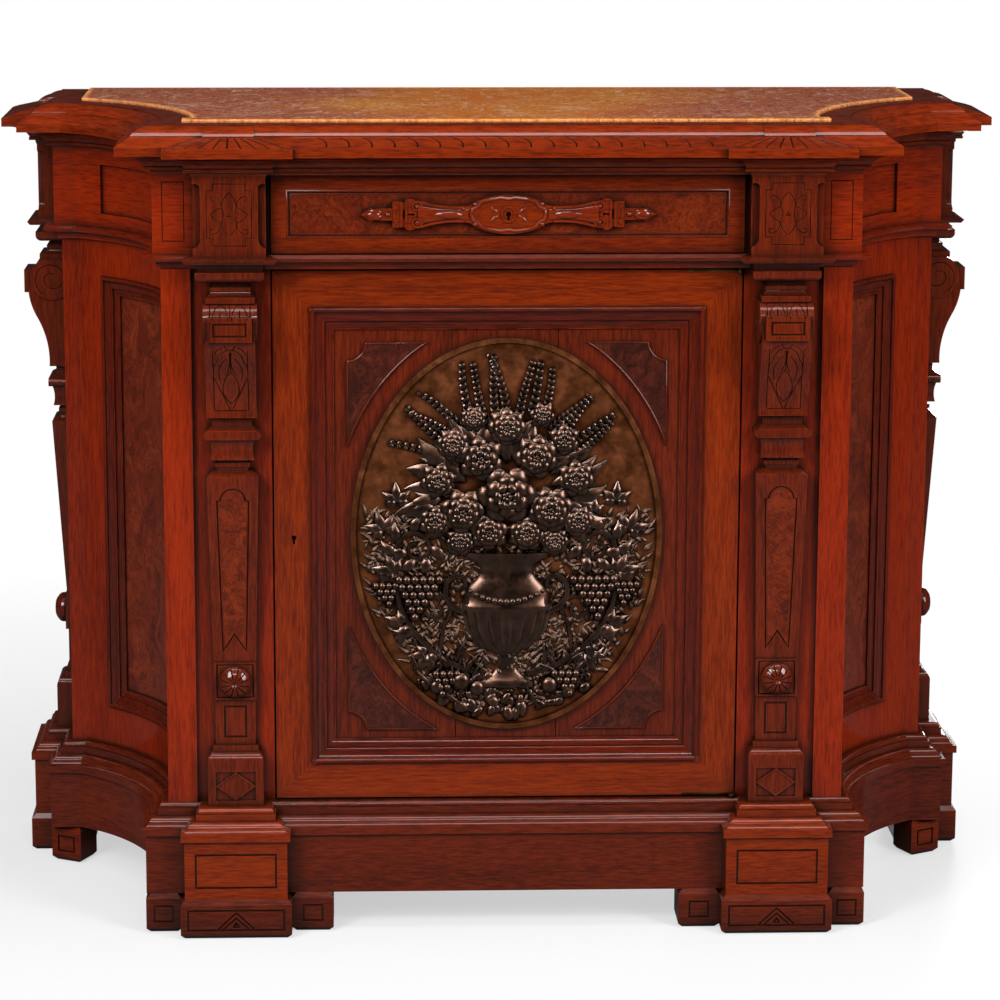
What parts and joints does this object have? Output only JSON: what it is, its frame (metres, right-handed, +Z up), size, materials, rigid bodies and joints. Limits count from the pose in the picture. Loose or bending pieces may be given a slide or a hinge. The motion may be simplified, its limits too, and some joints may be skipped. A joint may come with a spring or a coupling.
{
  "type": "side cabinet",
  "caption": "Side cabinet with hollow corners, bracketed pilasters, one door with an oval relief, a drawer and a marble top.",
  "frame": {"origin": "on the floor under the middle of the cabinet", "axes": "+X to the viewer's right, -Y to the front, +Z up"},
  "size_m": [1.42, 0.557, 1.122],
  "materials": {
    "mahogany": "French-polished red-brown mahogany",
    "burl": "polished burl veneer",
    "pine": "plain secondary wood",
    "bronze": "dark patinated bronze",
    "marble": "polished red and ochre marble",
    "brass": "aged brass",
    "steel": "lock steel"
  },
  "bodies": {
    "case": {"back_panel": "pine", "bottom_board": "pine", "canted_feet": "mahogany", "corner_mouldings": "mahogany", "corner_panels": "burl", "cornice_front": "mahogany", "drawer_rails": "mahogany", "drawer_runners": "pine", "hinge_frame_leaves": "brass", "left_corner_frame": "mahogany", "left_cornice": "mahogany", "left_frieze": "mahogany", "left_front_bracket": "mahogany", "left_front_feet": "mahogany", "left_front_frieze_block": "mahogany", "left_front_pedestal": "mahogany", "left_front_shaft": "mahogany", "left_front_stile": "mahogany", "left_plinth": "mahogany", "left_rear_post": "mahogany", "left_side_bracket": "mahogany", "left_side_foot": "mahogany", "left_side_frieze_block": "mahogany", "left_side_pedestal": "mahogany", "left_side_shaft": "mahogany", "marble_top": "marble", "plinth_front": "mahogany", "right_corner_frame": "mahogany", "right_cornice": "mahogany", "right_frieze": "mahogany", "right_front_bracket": "mahogany", "right_front_feet": "mahogany", "right_front_frieze_block": "mahogany", "right_front_pedestal": "mahogany", "right_front_shaft": "mahogany", "right_front_stile": "mahogany", "right_plinth": "mahogany", "right_rear_post": "mahogany", "right_side_bracket": "mahogany", "right_side_foot": "mahogany", "right_side_frieze_block": "mahogany", "right_side_pedestal": "mahogany", "right_side_shaft": "mahogany", "rosettes": "mahogany", "shelf": "pine", "shelf_supports": "pine", "top_board": "pine"},
    "door": {"door_frame": "mahogany", "door_panel": "mahogany", "door_moulding": "mahogany", "door_spandrels": "burl", "medallion": "bronze", "door_lock": "steel", "hinge_door_leaves": "brass"},
    "drawer": {"drawer_front": "mahogany", "drawer_box": "pine", "drawer_escutcheon": "mahogany", "drawer_lock": "steel"},
    "door_bolt": {"door_bolt": "brass"},
    "drawer_bolt": {"drawer_bolt": "brass"}
  },
  "joints": [
    {"name": "door_hinge", "type": "hinge", "parent": "case", "child": "door", "pos_m": [0.3145, -0.1985, 0.55], "axis": [0, 0, 1], "range_deg": [0, 95]},
    {"name": "drawer_slide", "type": "slide", "parent": "case", "child": "drawer", "axis": [0, -1, 0], "range_m": [0, 0.3]},
    {"name": "door_bolt_slide", "type": "slide", "parent": "door", "child": "door_bolt", "axis": [-1, 0, 0], "range_m": [0, 0.008]},
    {"name": "drawer_bolt_slide", "type": "slide", "parent": "drawer", "child": "drawer_bolt", "axis": [0, 0, 1], "range_m": [0, 0.008]}
  ]
}
